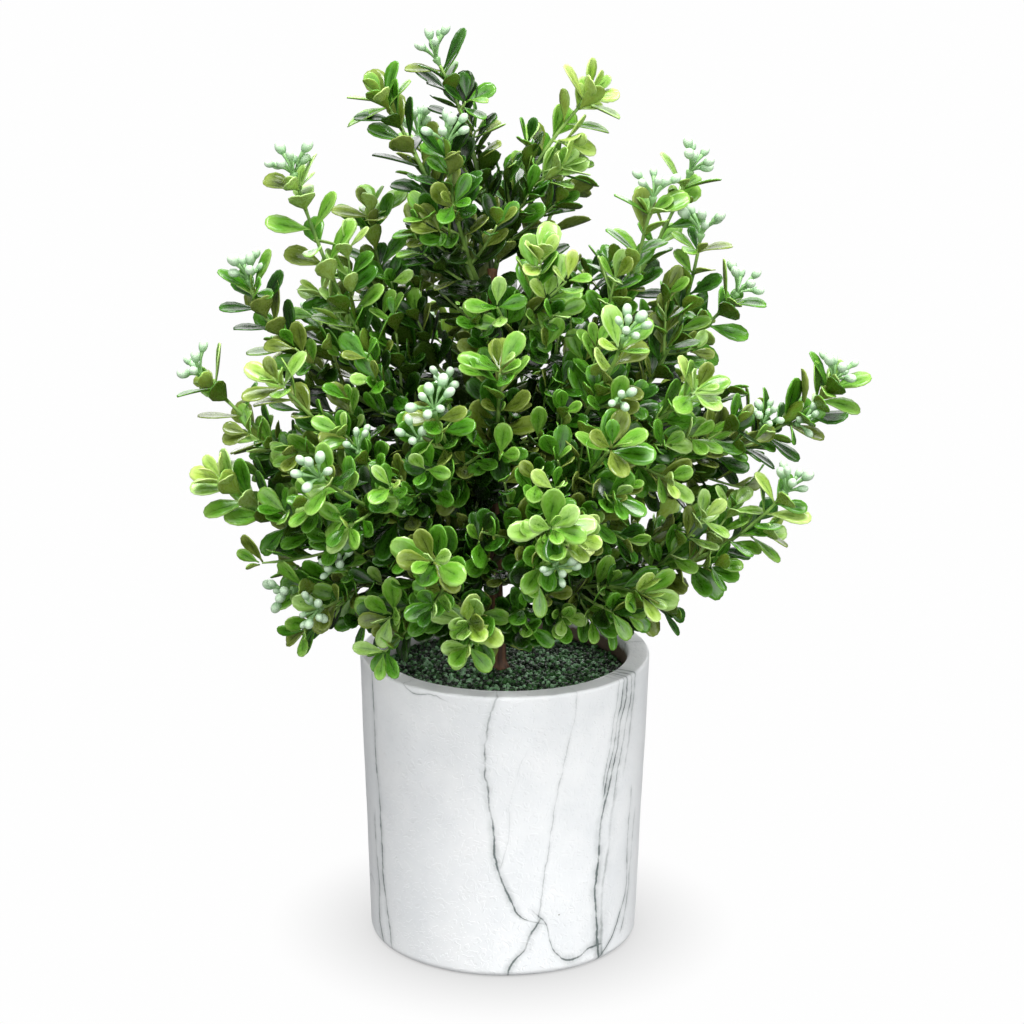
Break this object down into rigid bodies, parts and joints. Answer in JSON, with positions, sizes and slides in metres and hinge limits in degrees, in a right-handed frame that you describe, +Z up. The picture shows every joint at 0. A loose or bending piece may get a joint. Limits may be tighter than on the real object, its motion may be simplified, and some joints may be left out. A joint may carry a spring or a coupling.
{
  "type": "potted boxwood shrub",
  "caption": "Small moulded boxwood shrub with a central trunk, rising leafy shoots and bud clusters, standing in a round cast pot filled with green granules.",
  "frame": {"origin": "centre of the pot's flat underside", "axes": "+Z up along the pot's axis, -Y towards the viewer of the picture, +X to the viewer's right"},
  "size_m": [0.2854, 0.2243, 0.3766],
  "materials": {
    "pot": "matt",
    "filling": "matt",
    "trunk": "matt",
    "bough": "satin",
    "leaves_dark": "satin",
    "leaves_mid": "satin",
    "leaves_fresh": "satin",
    "leaves_lime": "satin",
    "leaves_olive": "satin"
  },
  "bodies": {
    "root": {"pot": "pot", "pot_filling": "filling", "trunk": "trunk", "bough_upper_left": "bough", "bough_upper_right": "bough", "bough_left_high": "bough", "bough_left_far": "bough", "bough_left_front": "bough", "bough_left_low": "bough", "bough_front_left_high": "bough", "bough_front": "bough", "bough_middle_right": "bough", "bough_front_right_high": "bough", "bough_right_upper": "bough", "bough_right_front": "bough", "bough_right_high": "bough", "bough_right_far": "bough", "bough_right_low": "bough", "bough_back_left": "bough", "bough_back_middle": "bough", "bough_back_right": "bough", "bough_back_low": "bough", "bough_back_right_low": "bough", "foliage_crown_top": "leaves_dark", "foliage_crown_left": "leaves_dark", "foliage_crown_right": "leaves_lime", "foliage_crown_front": "leaves_dark", "foliage_crown_back_left": "leaves_olive", "foliage_crown_back_right": "leaves_olive", "foliage_upper_left": "leaves_fresh", "foliage_upper_left_inner": "leaves_dark", "foliage_upper_middle": "leaves_lime", "foliage_upper_right": "leaves_mid", "foliage_upper_right_front": "leaves_mid", "foliage_left_high": "leaves_dark", "foliage_left_far": "leaves_mid", "foliage_left_front": "leaves_mid", "foliage_left_low": "leaves_lime", "foliage_left_bottom": "leaves_mid", "foliage_front_left_high": "leaves_mid", "foliage_front_left": "leaves_dark", "foliage_front_left_bottom": "leaves_mid", "foliage_middle_left": "leaves_dark", "foliage_middle_front": "leaves_dark", "foliage_front_bottom": "leaves_lime", "foliage_front": "leaves_mid", "foliage_middle_right": "leaves_dark", "foliage_front_right_high": "leaves_mid", "foliage_right_upper": "leaves_dark", "foliage_right_front": "leaves_mid", "foliage_right_high": "leaves_dark", "foliage_right_far": "leaves_mid", "foliage_right_low": "leaves_mid", "foliage_right_bottom": "leaves_mid", "foliage_back_left": "leaves_mid", "foliage_back_middle": "leaves_mid", "foliage_back_right": "leaves_mid", "foliage_back_left_low": "leaves_mid", "foliage_back_low": "leaves_fresh", "foliage_back_right_low": "leaves_mid"}
  },
  "joints": []
}
